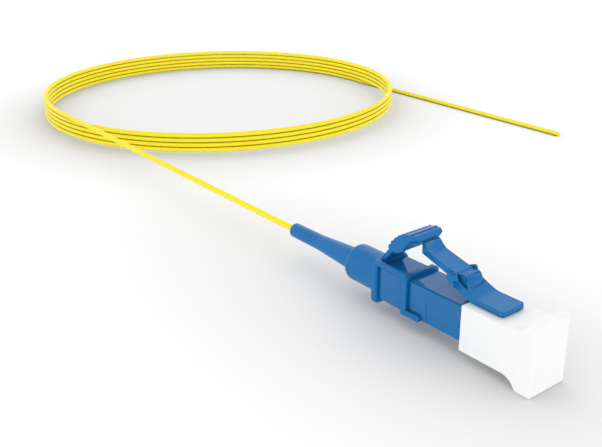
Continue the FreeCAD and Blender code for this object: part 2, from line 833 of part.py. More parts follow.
def make_fibre():
    """Bare glass from the ferrule's tip to the middle of the flange's shank."""
    length = size("ferrule_out") + size("fibre_back")
    start = (-size("fibre_back"), ZERO, ZERO)
    return make_rod("glass_fibre", size("fibre_dia") / 2, length, start, FreeCAD.Vector(1, 0, 0))


def make_cord():
    """Buffered fibre: in the plug, straight to the coil, round it and out to a bare end."""
    floor = -axis_height
    low = floor + cord_radius
    turns = size("coil_full_turns") + (size("lead_angle") - size("tail_angle")) / 360
    high = low + size("coil_pitch") * turns
    buffer_length = -size("buffer_front") - boot_end
    buffer = make_rod("buffer_in_plug", cord_radius, buffer_length,
                      (boot_end, ZERO, ZERO), FreeCAD.Vector(1, 0, 0))

    lead_x, lead_y = -size("lead_angle").sine(), size("lead_angle").cosine()
    touch_x = boot_end - size("lead_length") * lead_x
    touch_y = -size("lead_length") * lead_y
    centre_x = touch_x - size("coil_radius") * size("lead_angle").cosine()
    centre_y = touch_y - size("coil_radius") * size("lead_angle").sine()
    climb = -high
    run = FreeCAD.Vector((boot_end - touch_x).value, -touch_y.value, climb.value)
    lead_length = (size("lead_length") * size("lead_length") + climb * climb).root()
    lead = make_rod("cord_lead", cord_radius, lead_length, (touch_x, touch_y, high), run)

    exit_x = centre_x + size("coil_radius") * size("tail_angle").cosine()
    exit_y = centre_y + size("coil_radius") * size("tail_angle").sine()
    away = FreeCAD.Vector(size("tail_angle").sine().value, -size("tail_angle").cosine().value, 0)
    tail = make_rod("cord_tail", cord_radius, size("tail_length"), (exit_x, exit_y, low), away)

    upright = FreeCAD.Vector(0, 0, 1)
    coil_height = size("cord_dia") + size("coil_pitch") * turns
    outer = make_rod("CoilOuter", size("coil_radius") + cord_radius, coil_height,
                     (centre_x, centre_y, floor), upright)
    inner = make_rod("CoilInner", size("coil_radius") - cord_radius, coil_height,
                     (centre_x, centre_y, floor), upright)
    coil = document.addObject("Part::Cut", "cord_coil")
    coil.Label = "cord_coil"
    coil.Base = outer
    coil.Tool = inner
    return [buffer, lead, coil, tail]


def make_part():
    """Every piece of the pigtail, from the cap back to the cord's bare end."""
    makers = [make_dust_cap, make_housing, make_latch_arm, make_trigger_clip,
              make_trigger_lever, make_back_post, make_boot, make_ferrule, make_flange,
              make_spring, make_fibre]
    pieces = [maker() for maker in makers]
    return pieces + make_cord()


def check_document(pieces):
    """Stop if a feature failed, cut nothing, or left a piece without a valid solid."""
    for item in document.Objects:
        if {"Invalid", "Error"} & set(item.State):
            raise RuntimeError(f"{item.Name} failed: {item.State}")
        if item.TypeId in ("PartDesign::Pocket", "PartDesign::Groove"):
            if item.Shape.Volume > item.BaseFeature.Shape.Volume - 1e-4:
                raise RuntimeError(f"{item.Name} cuts nothing")
    for piece in pieces:
        if piece.Shape.isNull() or not piece.Shape.isValid() or not piece.Shape.Solids:
            raise RuntimeError(f"{piece.Label} has no valid solid")


def main():
    pieces = make_part()
    document.recompute()
    check_document(pieces)
    os.makedirs("parts", exist_ok=True)
    for piece in pieces:
        piece.Shape.exportStep(f"parts/{piece.Label}.step")
        solids, volume = len(piece.Shape.Solids), piece.Shape.Volume
        print(f"{piece.Label}: {solids} solid, {volume:.4f} mm3, {piece.Shape.BoundBox}")


main()
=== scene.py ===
"""Looks of a fibre pigtail: a square latched plug with a dust cap, and its thin cord in a coil.

Shapes are drawn in millimetres about the plug's own axis (x = 0 at the nose face, z = 0 on the
axis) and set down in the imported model's frame, in metres, when they are done.
"""

import json
import logging
import math
from dataclasses import dataclass, field
from enum import Enum

import bmesh
import bpy
from mathutils import Matrix, Vector

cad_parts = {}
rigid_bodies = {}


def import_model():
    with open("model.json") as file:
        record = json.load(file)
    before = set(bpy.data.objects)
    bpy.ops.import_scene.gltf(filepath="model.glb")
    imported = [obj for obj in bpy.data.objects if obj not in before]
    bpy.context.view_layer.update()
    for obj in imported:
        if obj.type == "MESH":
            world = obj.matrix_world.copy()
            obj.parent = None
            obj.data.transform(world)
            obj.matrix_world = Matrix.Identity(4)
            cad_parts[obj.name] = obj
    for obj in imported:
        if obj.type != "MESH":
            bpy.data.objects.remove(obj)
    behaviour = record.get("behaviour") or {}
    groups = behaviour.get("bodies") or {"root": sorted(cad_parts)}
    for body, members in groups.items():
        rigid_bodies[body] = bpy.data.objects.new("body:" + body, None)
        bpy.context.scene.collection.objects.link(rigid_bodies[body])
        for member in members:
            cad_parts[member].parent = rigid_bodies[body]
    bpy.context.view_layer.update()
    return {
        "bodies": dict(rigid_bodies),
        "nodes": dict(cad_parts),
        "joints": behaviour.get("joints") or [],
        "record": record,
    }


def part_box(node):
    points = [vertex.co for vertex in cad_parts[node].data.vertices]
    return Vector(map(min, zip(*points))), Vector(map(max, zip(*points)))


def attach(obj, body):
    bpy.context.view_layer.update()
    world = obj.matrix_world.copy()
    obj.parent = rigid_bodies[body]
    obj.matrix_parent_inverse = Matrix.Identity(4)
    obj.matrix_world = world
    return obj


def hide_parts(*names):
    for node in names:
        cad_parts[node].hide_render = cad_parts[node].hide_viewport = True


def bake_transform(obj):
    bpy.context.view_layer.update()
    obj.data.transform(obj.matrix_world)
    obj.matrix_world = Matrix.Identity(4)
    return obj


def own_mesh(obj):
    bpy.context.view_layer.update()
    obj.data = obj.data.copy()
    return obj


log = logging.getLogger("fibre_pigtail")

MM = 0.001
BEYOND = 1.0  # how far a cutting shape runs past what it cuts, in millimetres
OVER_ALL = 9.0  # a height above everything on the plug, in millimetres
WELD = 1e-5  # points that lie closer than this are one
BEND_LOOPS = 3  # edge loops on each side of the middle of a bend
# painted shade in corners: the ambient occlusion values between which the colour darkens
PAINTED_SHADE_OPEN = (0.3, 0.8)  # openness where a crevice is at its deepest, and where it ends
Point = tuple[float, float]
Place = tuple[float, float, float]


# ---------------- shader graphs and finishes

def linear(hex_colour: str) -> tuple[float, float, float, float]:
    """Turn an sRGB hex colour into the linear values that a shader takes.

    Args:
        hex_colour: six hex digits after a hash sign.

    Returns:
        Red, green, blue and alpha in linear light.
    """
    parts = [int(hex_colour[i:i + 2], 16) / 255 for i in (1, 3, 5)]
    light = [c / 12.92 if c <= 0.04045 else ((c + 0.055) / 1.055) ** 2.4 for c in parts]
    return (*light, 1.0)


def add_node(tree: bpy.types.NodeTree, kind: str, inputs: dict | None = None,
             **settings: object) -> bpy.types.Node:
    """Add one node to a tree, with its settings and what its inputs are joined to or hold.

    Args:
        tree: the tree that the node goes in.
        kind: the node's Blender type name.
        inputs: a socket to link or a constant to set, by input name or number.
        settings: properties of the node itself.

    Returns:
        The new node.
    """
    node = tree.nodes.new(kind)
    for name, value in settings.items():
        setattr(node, name, value)
    for key, value in (inputs or {}).items():
        if isinstance(value, bpy.types.NodeSocket):
            tree.links.new(value, node.inputs[key])
        else:
            node.inputs[key].default_value = value
    return node


@dataclass(frozen=True)
class Finish:
    """A procedural material: mottled colour, fine grain, and the gloss of one real surface.

    The mottle is a slow shift of colour and gloss over the surface, as flow and handling leave.
    The grain is the fine relief of the mould, die or lathe, stretched along its own direction.
    In narrow corners, creases and between parts shade is painted into the colour: it darkens
    towards the painted shade level within the painted shade distance.
    """

    name: str
    colour: str
    shade: str
    roughness: float
    roughness_swing: float
    mottle_mm: float
    grain_mm: float
    grain_height_mm: float
    grain_stretch: Place = (1.0, 1.0, 1.0)
    ior: float = 1.5
    metallic: float = 0.0
    transmission: float = 0.0
    subsurface: float = 0.0
    subsurface_mm: float = 1.0
    specular: float = 0.5
    # shade painted into the colour in corners: how far the occlusion looks, and how dark the colour
    # gets there
    painted_shade_mm: float = 0.5
    painted_shade_level: float = 0.75

    def build(self) -> bpy.types.Material:
        """Make the Blender material.

        Returns:
            The material, its pattern scaled from real millimetres.
        """
        material = bpy.data.materials.new(self.name)
        material.use_nodes = True
        tree = material.node_tree
        tree.nodes.clear()
        place = add_node(tree, "ShaderNodeTexCoord")
        in_mm = add_node(tree, "ShaderNodeVectorMath", {0: place.outputs["Object"],
                         1: (1 / MM, 1 / MM, 1 / MM)}, operation="MULTIPLY")
        mottle = add_node(tree, "ShaderNodeTexNoise", {
            "Vector": in_mm.outputs[0], "Scale": 1 / self.mottle_mm, "Detail": 3.0})
        along = add_node(tree, "ShaderNodeVectorMath", {
            0: in_mm.outputs[0], 1: self.grain_stretch}, operation="MULTIPLY")
        grain = add_node(tree, "ShaderNodeTexNoise", {
            "Vector": along.outputs[0], "Scale": 1 / self.grain_mm, "Detail": 4.0})
        colour = add_node(tree, "ShaderNodeMix", {
            "Factor": mottle.outputs["Fac"], "A": linear(self.colour),
            "B": linear(self.shade)}, data_type="RGBA")
        # painted shade: the colour darkens in corners, creases and between parts, by ambient
        # occlusion
        corner = add_node(tree, "ShaderNodeAmbientOcclusion",
                          {"Distance": self.painted_shade_mm * MM}, samples=6)
        depth = add_node(tree, "ShaderNodeMapRange", {
            "Value": corner.outputs["AO"], "From Min": PAINTED_SHADE_OPEN[0],
            "From Max": PAINTED_SHADE_OPEN[1], "To Min": self.painted_shade_level, "To Max": 1.0})
        colour_with_painted_shade = add_node(tree, "ShaderNodeVectorMath", {
            0: colour.outputs["Result"], 1: depth.outputs["Result"]}, operation="MULTIPLY")
        gloss = add_node(tree, "ShaderNodeMapRange", {
            "Value": mottle.outputs["Fac"],
            "To Min": self.roughness - self.roughness_swing,
            "To Max": self.roughness + self.roughness_swing})
        relief = add_node(tree, "ShaderNodeBump", {
            "Height": grain.outputs["Fac"], "Strength": 1.0,
            "Distance": self.grain_height_mm * MM})
        surface = add_node(tree, "ShaderNodeBsdfPrincipled", {
            "Base Color": colour_with_painted_shade.outputs[0], "Roughness": gloss.outputs["Result"],
            "Normal": relief.outputs["Normal"], "IOR": self.ior, "Metallic": self.metallic,
            "Transmission Weight": self.transmission, "Subsurface Weight": self.subsurface,
            "Subsurface Scale": self.subsurface_mm * MM,
            "Specular IOR Level": self.specular})
        output = add_node(tree, "ShaderNodeOutputMaterial",
                          {"Surface": surface.outputs["BSDF"]})
        output.is_active_output = True
        return material


# Polybutylene moulded in a fine-blasted tool: deep blue, satin, with a wide faint highlight, and
# painted shade in its corners
BLUE_SATIN = Finish("pbt_blue_moulded_satin", "#0F74B6", "#0A6CAE", 0.34, 0.04,
                    3.0, 0.09, 0.0012, specular=0.24, painted_shade_mm=0.7, painted_shade_level=0.55)
# Polybutylene moulded in a polished tool: the same blue, glossy enough to mirror what is near, with
# deep painted shade in its corners
BLUE_GLOSS = Finish("pbt_blue_moulded_polished", "#0E72B2", "#0A6AAA", 0.1, 0.02,
                    4.0, 0.2, 0.0003, specular=0.4, painted_shade_mm=0.7, painted_shade_level=0.45)
# Polyethylene cap: milky white that glows a little at its edges
WHITE_CAP = Finish("polyethylene_white_injection_moulded", "#FFFFFF", "#FCFCFC", 0.42, 0.05,
                   4.0, 0.12, 0.0015, subsurface=0.25, subsurface_mm=0.8)
# Tight buffer extruded round the fibre: warm yellow, with faint draw lines along it, and deep
# painted shade between its turns
YELLOW_BUFFER = Finish("pvc_yellow_extruded_tight_buffer", "#FFF236", "#FFEA26", 0.4, 0.05,
                       6.0, 0.1, 0.0012, specular=0.22, painted_shade_mm=0.9, painted_shade_level=0.33)
# Nickel plated brass off the lathe: fine rings and a broken grey sheen, on the spring too
TURNED_METAL = Finish("nickel_plated_brass_turned", "#C4C2BC", "#AEABA4", 0.28, 0.07,
                      1.2, 0.05, 0.0015, (6.0, 0.6, 0.6), metallic=1.0)
# Ground zirconia: porcelain white, hard and almost polished
ZIRCONIA = Finish("zirconia_ground_and_polished", "#F3F1EA", "#ECE9E0", 0.12, 0.03,
                  0.8, 0.03, 0.0004, ior=2.1, subsurface=0.1, subsurface_mm=0.3)
# Cleaved glass fibre: clear, seen only as a pinpoint in the ferrule
GLASS = Finish("silica_fibre_cleaved", "#F2F7FA", "#E8F0F5", 0.03, 0.01, 0.3, 0.02, 0.0001,
               ior=1.46, transmission=0.9)


# ---------------- outlines

@dataclass(frozen=True)
class Corner:
    """A corner of an outline, with the radius that the mould gives it (0 for a sharp one)."""

    x: float
    z: float
    fillet: float = 0.0


def bow(first: Point, last: Point, radius: float, steps: int) -> list[Corner]:
    """Corners along the shorter arc that turns right on its way between two points.

    Args:
        first: where the arc starts.
        last: where it ends.
        radius: its radius.
        steps: how many chords it is drawn with.

    Returns:
        The arc's points, both ends with them.
    """
    a, b = Vector(first), Vector(last)
    chord = b - a
    left = Vector((-chord.y, chord.x)).normalized()
    reach = math.sqrt(max(radius ** 2 - (chord.length / 2) ** 2, 0.0))
    centre = (a + b) / 2 - left * reach
    start = math.atan2(a.y - centre.y, a.x - centre.x)
    sweep = -2 * math.asin(min(chord.length / 2 / radius, 1.0))
    angles = [start + sweep * n / steps for n in range(steps + 1)]
    return [Corner(centre.x + radius * math.cos(t), centre.y + radius * math.sin(t))
            for t in angles]


def trace(corners: list[Corner], closed: bool = True, step: float = 10.0) -> list[Point]:
    """Turn corners into the points of an outline, each fillet drawn as a fine arc.

    Args:
        corners: the outline's corners in order.
        closed: whether the last corner joins the first.
        step: the arc's degrees for each chord.

    Returns:
        The points of the outline.
    """
    points: list[Point] = []
    count = len(corners)
    for n, corner in enumerate(corners):
        here = Vector((corner.x, corner.z))
        if corner.fillet <= 0 or (not closed and n in (0, count - 1)):
            points.append((corner.x, corner.z))
            continue
        before = corners[n - 1]
        after = corners[(n + 1) % count]
        back = (Vector((before.x, before.z)) - here).normalized()
        on = (Vector((after.x, after.z)) - here).normalized()
        half = back.angle(on) / 2
        reach = corner.fillet / math.tan(half)
        centre = here + (back + on).normalized() * corner.fillet / math.sin(half)
        first, last = here + back * reach - centre, here + on * reach - centre
        swing = first.angle_signed(last)
        chords = max(2, math.ceil(abs(math.degrees(swing)) / step))
        for k in range(chords + 1):
            turned = Matrix.Rotation(-swing * k / chords, 2) @ first
            points.append(tuple(centre + turned))
    return points


# ---------------- solids in the making

def add_object(name: str, data: bpy.types.ID) -> bpy.types.Object:
    """Put a new object that holds this data into the scene."""
    made = bpy.data.objects.new(name, data)
    bpy.context.scene.collection.objects.link(made)
    return made


def drawn_mesh(made: bpy.types.Object) -> bpy.types.Mesh:
    """Copy what an object's modifiers or curve settings draw.

    Args:
        made: an object of the scene.

    Returns:
        A new mesh.
    """
    bpy.context.view_layer.update()
    graph = bpy.context.evaluated_depsgraph_get()
    return bpy.data.meshes.new_from_object(made.evaluated_get(graph))


@dataclass(frozen=True)
class PlugFrame:
    """Where the plug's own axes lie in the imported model, in millimetres."""

    nose_x: float
    axis_z: float

    @classmethod
    def read(cls) -> "PlugFrame":
        """Read the plug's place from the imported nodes.

        Returns:
            The frame of the plug's nose face and axis.
        """
        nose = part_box("plug_housing")[1].x / MM
        low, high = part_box("glass_fibre")
        return cls(nose, (low.z + high.z) / 2 / MM)

    def to_row(self) -> Matrix:
        """Matrix from the plug's millimetres to the row's metres."""
        return Matrix.Scale(MM, 4) @ Matrix.Translation((self.nose_x, 0, self.axis_z))

    def point(self, x: float, y: float, z: float) -> Vector:
        """A point of the plug in the row's metres."""
        return self.to_row() @ Vector((x, y, z))


class Join(Enum):
    """What a solid does to the one that it is put to."""

    ADD = "UNION"
    CUT = "DIFFERENCE"
    COMMON = "INTERSECT"


class Solid:
    """A closed mesh in millimetres that is being shaped, before it becomes a piece."""

    def __init__(self, name: str, shape: bmesh.types.BMesh) -> None:
        """Take over a finished bmesh as this solid's shape."""
        bmesh.ops.recalc_face_normals(shape, faces=shape.faces)
        mesh = bpy.data.meshes.new(name)
        shape.to_mesh(mesh)
        shape.free()
        self.object = add_object(name, mesh)

    @classmethod
    def along_y(cls, points: list[Point], low: float, high: float) -> "Solid":
        """A side outline (x, z) drawn out from one y to another."""
        return cls("side", prism([(x, low, z) for x, z in points], Vector((0, high - low, 0))))

    @classmethod
    def along_x(cls, points: list[Point], low: float, high: float) -> "Solid":
        """A front outline (y, z) drawn out from one x to another."""
        return cls("front", prism([(low, y, z) for y, z in points], Vector((high - low, 0, 0))))

    @classmethod
    def along_z(cls, points: list[Point], low: float, high: float) -> "Solid":
        """A plan outline (x, y) drawn out from one z to another."""
        return cls("plan", prism([(x, y, low) for x, y in points], Vector((0, 0, high - low))))

    @classmethod
    def turned(cls, points: list[Point], sides: int = 96) -> "Solid":
        """Turn a closed half outline about the plug's axis.

        Args:
            points: the outline, as (x, r).
            sides: how many facets go round.

        Returns:
            The solid.
        """
        shape = bmesh.new()
        rings = []
        for n in range(sides):
            angle = math.tau * n / sides
            rings.append([shape.verts.new((x, r * math.sin(angle), r * math.cos(angle)))
                          for x, r in points])
        for n, ring in enumerate(rings):
            other = rings[(n + 1) % sides]
            for k in range(len(points)):
                m = (k + 1) % len(points)
                shape.faces.new((ring[k], ring[m], other[m], other[k]))
        bmesh.ops.remove_doubles(shape, verts=shape.verts, dist=WELD)
        return cls("turned", shape)

    def join(self, other: "Solid", how: Join = Join.ADD) -> "Solid":
        """Add another solid to this one, or cut it away, and use it up.

        Args:
            other: the solid that is put to this one.
            how: whether it is added or cut away, or only what both hold is kept.

        Returns:
            This solid.
        """
        step = self.object.modifiers.new("join", "BOOLEAN")
        step.operation = how.value
        step.solver = "EXACT"
        step.object = other.object
        self.apply()
        spare = other.object.data
        bpy.data.objects.remove(other.object)
        bpy.data.meshes.remove(spare)
        return self

    def cut(self, other: "Solid") -> "Solid":
        """Cut another solid out of this one."""
        return self.join(other, Join.CUT)

    def slice_across(self, places: list[tuple[Vector, Vector]]) -> "Solid":
        """Add edge loops on planes, so that the piece can bend there.

        Args:
            places: a point and a normal for each plane.

        Returns:
            This solid.
        """
        shape = bmesh.new()
        shape.from_mesh(self.object.data)
        for point, normal in places:
            bmesh.ops.bisect_plane(shape, geom=shape.verts[:] + shape.edges[:] + shape.faces[:],
                                   plane_co=point, plane_no=normal, dist=WELD)
        shape.to_mesh(self.object.data)
        shape.free()
        return self

    def round_edges(self, width: float, segments: int = 3, angle: float = 28.0,
                    above: float = -math.inf) -> "Solid":
        """Round the edges that are sharper than an angle, as a mould leaves them.

        Args:
            width: how wide the rounding is.
            segments: how many facets draw it.
            angle: the least angle, in degrees, that is rounded.
            above: the height over which an edge has to lie.

        Returns:
            This solid.
        """
        shape = bmesh.new()
        shape.from_mesh(self.object.data)
        weight = shape.edges.layers.float.get("bevel_weight_edge")
        weight = weight or shape.edges.layers.float.new("bevel_weight_edge")
        for edge in shape.edges:
            sharp = edge.is_manifold and edge.calc_face_angle(0.0) > math.radians(angle)
            edge[weight] = float(sharp and all(v.co.z > above for v in edge.verts))
        shape.to_mesh(self.object.data)
        shape.free()
        step = self.object.modifiers.new("round", "BEVEL")
        step.width = width
        step.segments = segments
        step.limit_method = "WEIGHT"
        step.use_clamp_overlap = True
        step.miter_outer = "MITER_ARC"
        self.apply()
        return self

    def apply(self) -> None:
        """Keep what the modifiers make as the mesh itself."""
        mesh = drawn_mesh(self.object)
        spare = self.object.data
        self.object.modifiers.clear()
        self.object.data = mesh
        bpy.data.meshes.remove(spare)


def prism(ring: list[Place], run: Vector) -> bmesh.types.BMesh:
    """Draw a flat ring of points out along a vector into a closed shape.

    Args:
        ring: the outline's points.
        run: how far and which way it is drawn.

    Returns:
        The shape.
    """
    shape = bmesh.new()
    first = [shape.verts.new(p) for p in ring]
    last = [shape.verts.new(Vector(p) + run) for p in ring]
    for n in range(len(ring)):
        m = (n + 1) % len(ring)
        shape.faces.new((first[n], first[m], last[m], last[n]))
    shape.faces.new(first)
    shape.faces.new(last)
    return shape


def rectangle(low_a: float, high_a: float, low_b: float, high_b: float,
              fillet: float = 0.0) -> list[Point]:
    """The four corners of a rectangle as outline points, rounded if asked."""
    return trace([Corner(low_a, low_b, fillet), Corner(high_a, low_b, fillet),
                  Corner(high_a, high_b, fillet), Corner(low_a, high_b, fillet)])


def circle(a: float, b: float, radius: float, sides: int = 48) -> list[Point]:
    """Points round a circle."""
    return [(a + radius * math.cos(math.tau * n / sides),
             b + radius * math.sin(math.tau * n / sides)) for n in range(sides)]


def round_wire(name: str, kind: str, radius: float, facets: int,
               points: list[Place]) -> bpy.types.Curve:
    """Draw a round wire through points, with both its ends closed.

    Args:
        name: the curve's name.
        kind: Blender's kind of spline.
        radius: the wire's radius.
        facets: how finely its section is drawn.
        points: where its middle line runs.

    Returns:
        The curve, with one spline.
    """
    curve = bpy.data.curves.new(name, "CURVE")
    curve.dimensions = "3D"
    curve.bevel_depth = radius
    curve.bevel_resolution = facets
    curve.use_fill_caps = True
    spline = curve.splines.new(kind)
    spline.points.add(len(points) - 1)
    for point, place in zip(spline.points, points):
        point.co = (*place, 1.0)
    return curve


# ---------------- the pieces

@dataclass
class PlugPiece:
    """A drawn piece of the plug: where the plug lies, and the material of the piece."""

    frame: PlugFrame
    material: bpy.types.Material

    def finish(self, solid: Solid, name: str, slot: str) -> bpy.types.Object:
        """Shade a solid, set it down in the row's frame and give it the material.

        Args:
            solid: the shape, in the plug's millimetres.
            name: the piece's name.
            slot: the record's material slot; not used.

        Returns:
            The finished object, in metres.
        """
        piece = solid.object
        piece.data.shade_smooth()
        step = piece.modifiers.new("normals", "WEIGHTED_NORMAL")
        step.mode = "FACE_AREA"
        step.weight = 60
        solid.apply()
        mesh = piece.data
        mesh.name = name
        mesh.transform(self.frame.to_row())
        piece.name = name
        mesh.materials.clear()
        mesh.materials.append(self.material)
        log.info("%s: %d faces", name, len(mesh.polygons))
        return piece


@dataclass
class Housing(PlugPiece):
    """Square tube of the plug, its top edges stepped, with a stepped bore for the ferrule."""

    half: float = 2.21
    rise: float = 0.12
    length: float = 17.8
    low_corner: float = 0.3
    rabbet: float = 0.15
    nose_bore: float = 1.4
    nose_depth: float = 2.35
    chamber: float = 1.725
    edge: float = 0.1
    seam_x: float = 10.1
    seam_top: float = 0.55
    seam_width: float = 0.1
    seam_depth: float = 0.03

    def build(self) -> bpy.types.Object:
        """Make the housing.

        Returns:
            The piece, riding on the plug.
        """
        h, r = self.half, self.rabbet
        low, top = self.rise - h, self.rise + h
        q = self.low_corner
        square = trace([Corner(-h, low, q), Corner(h, low, q), Corner(h, top - r),
                        Corner(h - r, top - r), Corner(h - r, top), Corner(r - h, top),
                        Corner(r - h, top - r), Corner(-h, top - r)])
        body = Solid.along_x(square, -self.length, 0)
        rear = -self.length - BEYOND
        body.cut(Solid.turned([(rear, 0), (BEYOND, 0), (BEYOND, self.nose_bore),
                               (-self.nose_depth, self.nose_bore),
                               (-self.nose_depth, self.chamber), (rear, self.chamber)],
                              sides=64))
        for side in (-1, 1):
            groove = rectangle(-self.seam_x - self.seam_width / 2,
                               -self.seam_x + self.seam_width / 2,
                               low - BEYOND, self.seam_top)
            inner, outer = side * (h - self.seam_depth), side * (h + BEYOND)
            body.cut(Solid.along_y(groove, min(inner, outer), max(inner, outer)))
        body.round_edges(self.edge, segments=2)
        piece = self.finish(body, "plug_body", "blue_moulding")
        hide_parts("plug_housing")
        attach(piece, "plug")
        return piece


@dataclass
class Latch(PlugPiece):
    """Tongue and rising arm in one moulding with the housing: it bends at the tongue's rear."""

    root_front: float = 0.45
    root_length: float = 2.15
    root_half: float = 1.3
    root_foot: float = 2.0
    root_overlap: float = 0.2
    under: float = 2.86
    top: float = 3.43
    half: float = 1.7
    front: float = -0.1
    front_corner: float = 0.5
    brow: float = 0.22
    brow_reach: float = 0.1
    hinge: Point = (-4.3, 3.145)
    bend_half: float = 0.4
    rise_from: float = -3.75
    rise_round: float = 2.6
    under_rise_from: float = -4.56
    under_round: float = 1.0
    split: float = -5.3
    split_under: float = 3.2
    split_top: float = 4.0
    arm_half: float = 1.25
    wing_inner: float = 1.46
    hollow_rear: float = -7.3
    hollow_front: float = -5.15
    hollow_radius: float = 1.6
    hollow_low: float = 3.9
    dimple: Point = (-6.76, 4.24)
    dimple_radius: float = 0.15
    dimple_depth: float = 0.1
    edge: float = 0.08
    arm: list[Corner] = field(default_factory=lambda: [
        Corner(-5.0, 3.08), Corner(-4.9, 3.55), Corner(-5.22, 3.9, 0.4),
        Corner(-5.72, 5.27, 0.42), Corner(-6.7, 5.03, 1.8), Corner(-10.9, 6.05, 1.3),
        Corner(-11.85, 6.94, 0.08), Corner(-12.08, 6.94, 0.04), Corner(-12.08, 5.66, 0.08),
        Corner(-8.2, 4.5, 2.5)])
    wing: list[Corner] = field(default_factory=lambda: [
        Corner(-5.0, 3.08), Corner(-4.95, 3.6), Corner(-5.2, 3.95, 0.3),
        Corner(-6.28, 4.42, 0.35), Corner(-6.74, 5.44, 0.24), Corner(-7.94, 4.9, 0.35),
        Corner(-7.88, 4.1, 0.5), Corner(-6.9, 3.64, 1.5)])

    def build(self) -> bpy.types.Object:
        """Make the latch.

        Returns:
            The piece, with edge loops across it at the tongue's rear.
        """
        latch = self.tongue()
        root = rectangle(-self.root_front - self.root_length, -self.root_front,
                         self.root_foot, self.under + self.root_overlap)
        latch.join(Solid.along_y(root, -self.root_half, self.root_half))
        latch.join(Solid.along_y(trace(self.arm), -self.arm_half, self.arm_half))
        inner = self.wing_inner
        hollow = bow((self.hollow_rear, -inner), (self.hollow_front, -inner),
                     self.hollow_radius, steps=12)
        for side in (-1, 1):
            low, high = sorted((side * inner, side * self.half))
            latch.cut(Solid.along_z([(c.x, -side * c.z) for c in hollow],
                                    self.hollow_low, OVER_ALL))
            latch.join(Solid.along_y(trace(self.wing), low, high))
            face = side * (self.half - self.dimple_depth)
            spot = circle(*self.dimple, self.dimple_radius, sides=20)
            latch.cut(Solid.along_y(spot, *sorted((face, 2 * face))))
        x, z = self.hinge
        latch.slice_across([(Vector((x + self.bend_half * k / BEND_LOOPS, 0, 0)),
                             Vector((1, 0, 0))) for k in range(-BEND_LOOPS, BEND_LOOPS + 1)])
        latch.round_edges(self.edge)
        piece = self.finish(latch, "latch_tongue_and_arm", "blue_moulding")
        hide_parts("latch_arm")
        self.frame.point(x + self.bend_half, 0, z)
        self.frame.point(x - self.bend_half, 0, z)
        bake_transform(piece)
        return piece

    def tongue(self) -> Solid:
        """Make the full-width part: flat in front, round along its top, swept up at the rear.

        Returns:
            The tongue as far back as the arm's root.
        """
        w, r = self.half, self.front_corner
        outline = [Corner(self.front, self.under), Corner(self.front, self.top),
                   Corner(self.rise_from, self.top, self.rise_round),
                   Corner(self.split, self.split_top), Corner(self.split, self.split_under),
                   Corner(self.under_rise_from, self.under, self.under_round)]
        plate = Solid.along_y(trace(outline, step=4.0), -w, w)
        plan = trace([Corner(self.split, -w), Corner(0, -w, r), Corner(0, w, r),
                      Corner(self.split, w)])
        plan = [(min(x, self.front), y) for x, y in plan]
        plate.join(Solid.along_z(plan, 0, OVER_ALL), Join.COMMON)
        return plate.round_edges(self.brow, segments=4, above=self.top - self.brow_reach)


@dataclass
class DustCap(PlugPiece):
    """Square sleeve on the nose that flares to a flat grip at its closed end."""

    front: float = 4.7
    back: float = 4.75
    half_height: float = 2.7
    half_width: float = 2.75
    cavity: float = 2.26
    cavity_rise: float = 0.12
    stop: float = 0.3
    bore: float = 1.5
    bore_end: float = 3.0
    flare: float = 2.0
    low_start: float = 0.9
    low_drop: float = 1.3
    high_start: float = 1.7
    high_rise: float = 1.18
    slot_half: float = 1.42
    slot_end: float = 0.33
    slot_floor: float = 1.0
    slot_over: float = 0.6
    edge: float = 0.13

    def build(self) -> bpy.types.Object:
        """Make the dust cap.

        Returns:
            The piece, riding on the cap body.
        """
        h, r = self.half_height, self.flare
        low_run = math.sqrt(r * r - (r - self.low_drop) ** 2)
        high_run = math.sqrt(r * r - (r - self.high_rise) ** 2)
        outline = [Corner(-self.back, -h)]
        outline += bow((self.low_start, -h), (self.low_start + low_run, -h - self.low_drop),
                       r, steps=12)
        outline += [Corner(self.front, -h - self.low_drop), Corner(self.front, h + self.high_rise)]
        outline += bow((self.high_start + high_run, h + self.high_rise), (self.high_start, h),
                       r, steps=12)
        outline.append(Corner(-self.back, h))
        cap = Solid.along_y(trace(outline), -self.half_width, self.half_width)
        inside = rectangle(-self.cavity, self.cavity, self.cavity_rise - self.cavity,
                           self.cavity_rise + self.cavity)
        cap.cut(Solid.along_x(inside, -self.back - BEYOND, self.stop))
        cap.cut(Solid.turned([(0, 0), (self.bore_end, 0), (self.bore_end, self.bore),
                              (0, self.bore)], sides=48))
        slot = rectangle(-self.back - BEYOND, -self.slot_end, -self.slot_half, self.slot_half)
        cap.cut(Solid.along_z(slot, self.slot_floor, h + self.slot_over))
        cap.round_edges(self.edge)
        piece = self.finish(cap, "flared_dust_cap", "white_cap")
        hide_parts("dust_cap")
        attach(piece, "cap")
        return piece


